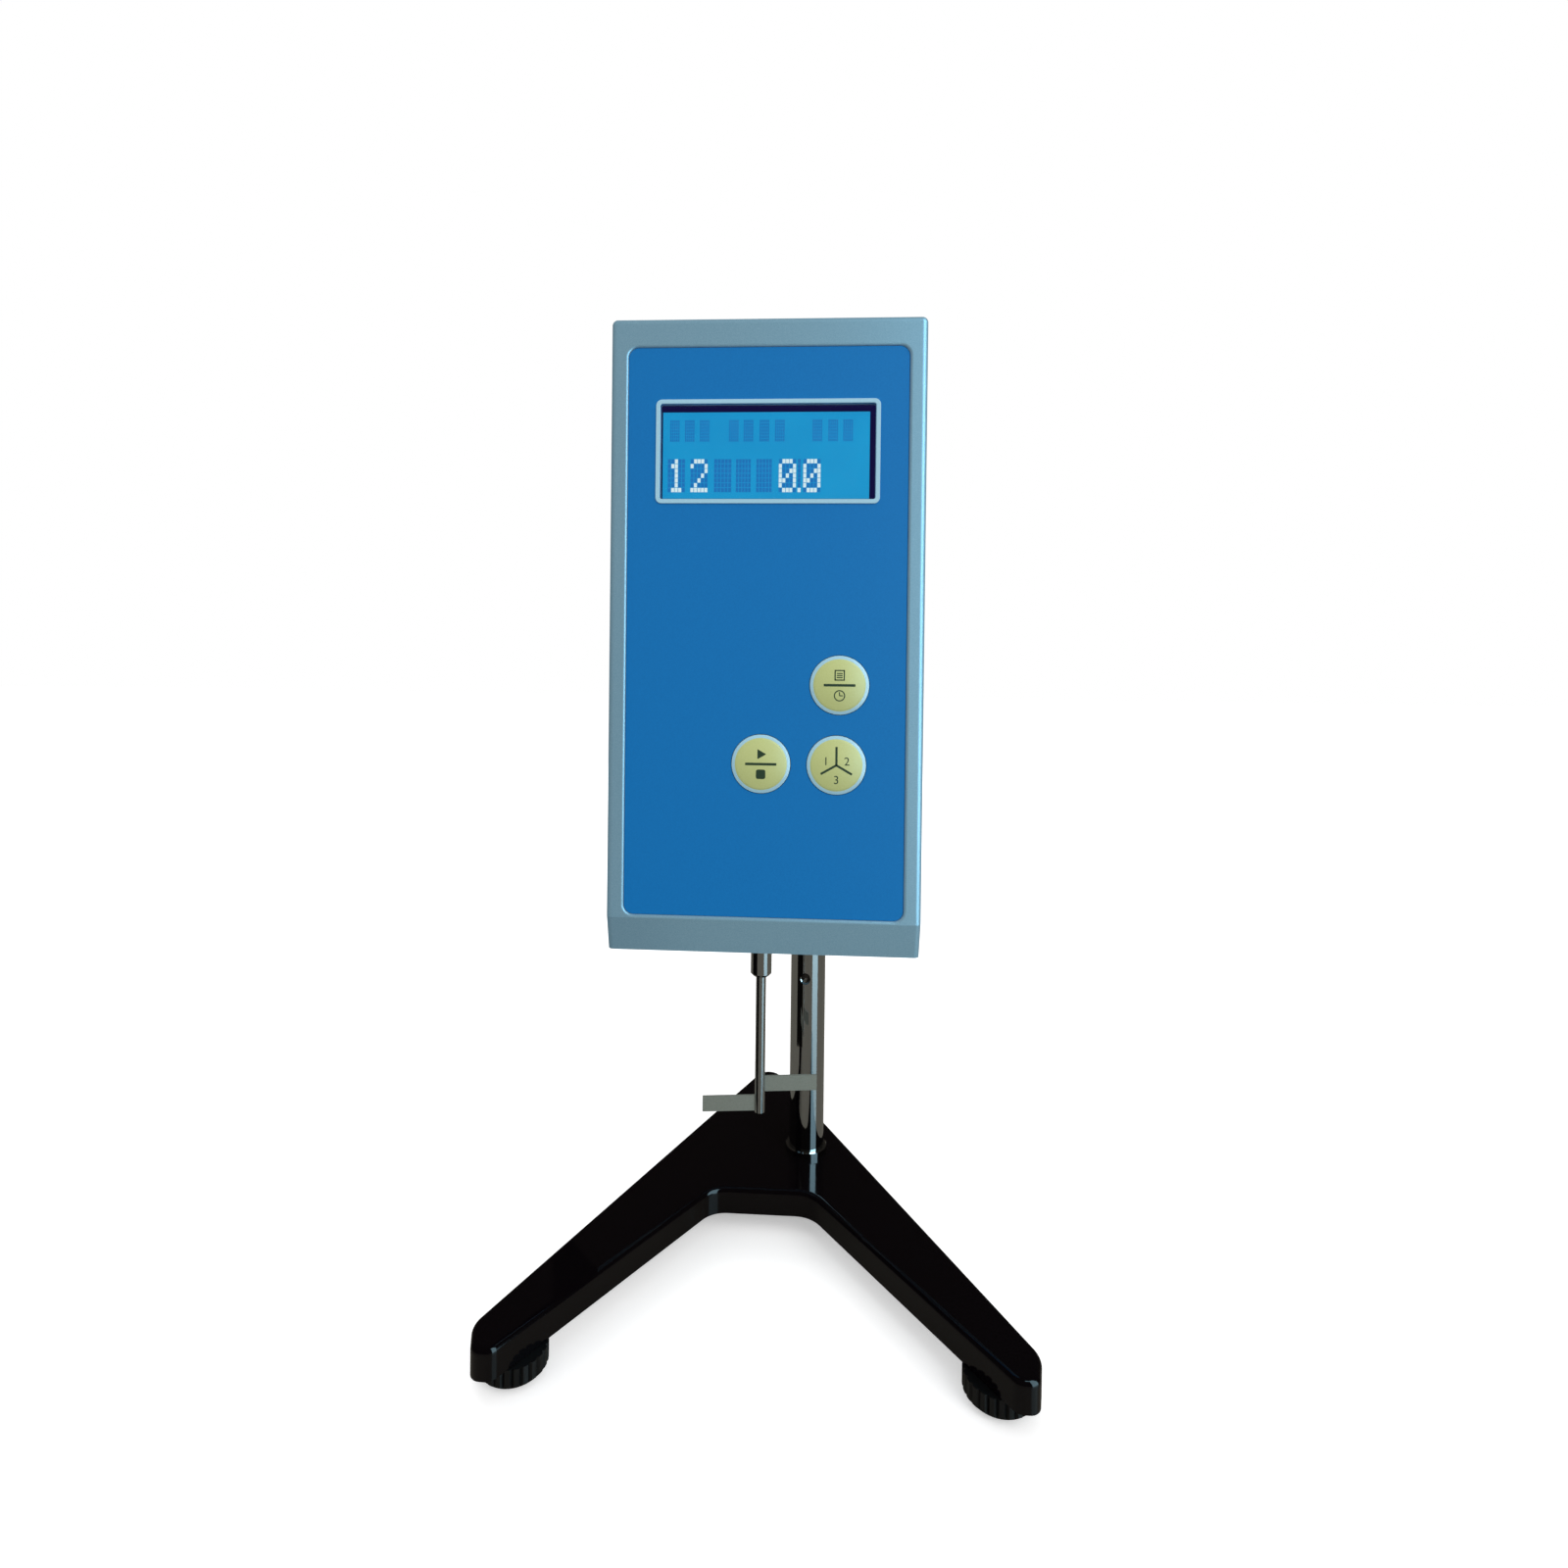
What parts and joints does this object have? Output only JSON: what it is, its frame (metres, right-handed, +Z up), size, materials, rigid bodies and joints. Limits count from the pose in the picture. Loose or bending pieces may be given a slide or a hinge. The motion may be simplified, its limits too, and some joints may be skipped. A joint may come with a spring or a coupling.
{
  "type": "rotational viscometer",
  "caption": "Bench viscometer: a display head clamped to a steel column on a V-shaped three-footed base turns a two-bladed paddle through a torque spring.",
  "frame": {"origin": "on the bench, under the middle of the base's box", "axes": "+Z up, the front panel looks along -Y"},
  "size_m": [0.2152, 0.225, 0.431],
  "materials": {
    "black_enamel": "glossy black enamel on cast iron",
    "polished_steel": "polished stainless steel",
    "plated_steel": "bright zinc plate",
    "black_rubber": "moulded rubber",
    "black_plastic": "moulded black plastic",
    "blue_grey_paint": "fine metallic silver-blue paint",
    "blue_panel": "fine-textured printed blue panel",
    "pale_blue_print": "pale blue print",
    "clear_acrylic": "clear acrylic sheet",
    "lit_display": "blue backlit dot-matrix display",
    "circuit_board": "green solder resist",
    "pale_green_key": "pale yellow-green keycap with a pale blue rim",
    "machined_aluminium": "machined",
    "bronze": "sintered bronze",
    "motor_metal": "black and bright motor can",
    "nylon_pad": "white nylon",
    "port_metal": "tinned steel",
    "spindle_steel": "brushed stainless steel"
  },
  "bodies": {
    "stand": {"base_casting": "black_enamel", "column": "polished_steel", "column_collar": "polished_steel", "column_washer": "plated_steel", "column_nut": "plated_steel"},
    "column_bushes": {"lower_bush": "bronze", "upper_bush": "bronze"},
    "head": {"front_shell": "blue_grey_paint", "rear_cover": "blue_grey_paint", "bottom_plate": "blue_grey_paint", "rear_screws": "plated_steel", "bottom_screws": "plated_steel", "front_overlay": "blue_panel", "display_frame": "pale_blue_print", "display_pane": "clear_acrylic", "display_module": "black_plastic", "display_glass": "lit_display", "display_board": "circuit_board", "key_board": "circuit_board", "main_board": "circuit_board", "chassis_plate": "plated_steel", "clamp_block": "machined_aluminium", "gearmotor": "motor_metal", "motor_bracket": "plated_steel", "bearing_housing": "machined_aluminium", "lower_bearing": "spindle_steel", "upper_bearing": "spindle_steel", "sensor_bracket": "plated_steel", "optical_sensors": "black_plastic", "dc_jack": "black_plastic", "serial_port": "port_metal", "switch_housing": "black_plastic"},
    "drive": {"input_disc": "spindle_steel", "torque_spring": "spindle_steel"},
    "spindle": {"spindle_shaft": "spindle_steel", "output_disc": "spindle_steel", "spindle_chuck": "spindle_steel", "paddle_shaft": "spindle_steel", "paddle_blade_lower": "spindle_steel", "paddle_blade_upper": "spindle_steel"},
    "upper_key": {"key_upper": "pale_green_key"},
    "left_key": {"key_left": "pale_green_key"},
    "right_key": {"key_right": "pale_green_key"},
    "clamp_shoe": {"clamp_pad": "nylon_pad"},
    "clamp_screw": {"clamp_knob": "black_plastic", "clamp_stud": "plated_steel"},
    "rocker": {"switch_rocker": "black_plastic"},
    "front_left_pad": {"foot_pad_front_left": "black_rubber"},
    "front_left_knob": {"levelling_knob_front_left": "black_plastic", "levelling_stud_front_left": "plated_steel"},
    "front_right_pad": {"foot_pad_front_right": "black_rubber"},
    "front_right_knob": {"levelling_knob_front_right": "black_plastic", "levelling_stud_front_right": "plated_steel"},
    "rear_pad": {"foot_pad_rear": "black_rubber"},
    "rear_knob": {"levelling_knob_rear": "black_plastic", "levelling_stud_rear": "plated_steel"}
  },
  "joints": [
    {"name": "head_lift", "type": "slide", "parent": "stand", "child": "column_bushes", "axis": [0, 0, 1], "range_m": [-0.03, 0.1]},
    {"name": "head_swivel", "type": "hinge", "parent": "column_bushes", "child": "head", "pos_m": [0.022, 0.029, 0.17], "axis": [0, 0, 1], "range_deg": [-45, 45]},
    {"name": "drive_spin", "type": "hinge", "parent": "head", "child": "drive", "pos_m": [-0.001, -0.019, 0.2], "axis": [0, 0, 1], "continuous": true},
    {"name": "torque_windup", "type": "hinge", "parent": "drive", "child": "spindle", "pos_m": [-0.001, -0.019, 0.1], "axis": [0, 0, 1], "range_deg": [-60, 60], "stiffness_Nm_per_rad": 0.02},
    {"name": "upper_key_press", "type": "slide", "parent": "head", "child": "upper_key", "axis": [0, 1, 0], "range_m": [0, 0.0005], "stiffness_N_per_m": 2000, "springref_m": -0.0005},
    {"name": "left_key_press", "type": "slide", "parent": "head", "child": "left_key", "axis": [0, 1, 0], "range_m": [0, 0.0005], "stiffness_N_per_m": 2000, "springref_m": -0.0005},
    {"name": "right_key_press", "type": "slide", "parent": "head", "child": "right_key", "axis": [0, 1, 0], "range_m": [0, 0.0005], "stiffness_N_per_m": 2000, "springref_m": -0.0005},
    {"name": "clamp_shoe_slide", "type": "slide", "parent": "head", "child": "clamp_shoe", "axis": [0, 1, 0], "range_m": [0, 0.00125]},
    {"name": "clamp_screw_turn", "type": "hinge", "parent": "clamp_shoe", "child": "clamp_screw", "pos_m": [0.022, 0.05, 0.1705], "axis": [0, 1, 0], "range_deg": [0, 361]},
    {"name": "switch_rock", "type": "hinge", "parent": "head", "child": "rocker", "pos_m": [-0.038, 0.054, 0.228], "axis": [-1, 0, 0], "range_deg": [0, 16]},
    {"name": "front_left_foot_slide", "type": "slide", "parent": "stand", "child": "front_left_pad", "axis": [0, 0, -1], "range_m": [0, 0.005]},
    {"name": "front_left_knob_turn", "type": "hinge", "parent": "front_left_pad", "child": "front_left_knob", "pos_m": [-0.09392, -0.093, 0.006], "axis": [0, 0, -1], "range_deg": [0, 1441]},
    {"name": "front_right_foot_slide", "type": "slide", "parent": "stand", "child": "front_right_pad", "axis": [0, 0, -1], "range_m": [0, 0.005]},
    {"name": "front_right_knob_turn", "type": "hinge", "parent": "front_right_pad", "child": "front_right_knob", "pos_m": [0.09392, -0.093, 0.006], "axis": [0, 0, -1], "range_deg": [0, 1441]},
    {"name": "rear_foot_slide", "type": "slide", "parent": "stand", "child": "rear_pad", "axis": [0, 0, -1], "range_m": [0, 0.005]},
    {"name": "rear_knob_turn", "type": "hinge", "parent": "rear_pad", "child": "rear_knob", "pos_m": [0, 0.088, 0.006], "axis": [0, 0, -1], "range_deg": [0, 1441]}
  ],
  "couplings": [
    {"joint": "clamp_screw_turn", "follows": "clamp_shoe_slide", "rad_per_m": 5026.5},
    {"joint": "front_left_knob_turn", "follows": "front_left_foot_slide", "rad_per_m": 5026.5},
    {"joint": "front_right_knob_turn", "follows": "front_right_foot_slide", "rad_per_m": 5026.5},
    {"joint": "rear_knob_turn", "follows": "rear_foot_slide", "rad_per_m": 5026.5}
  ]
}
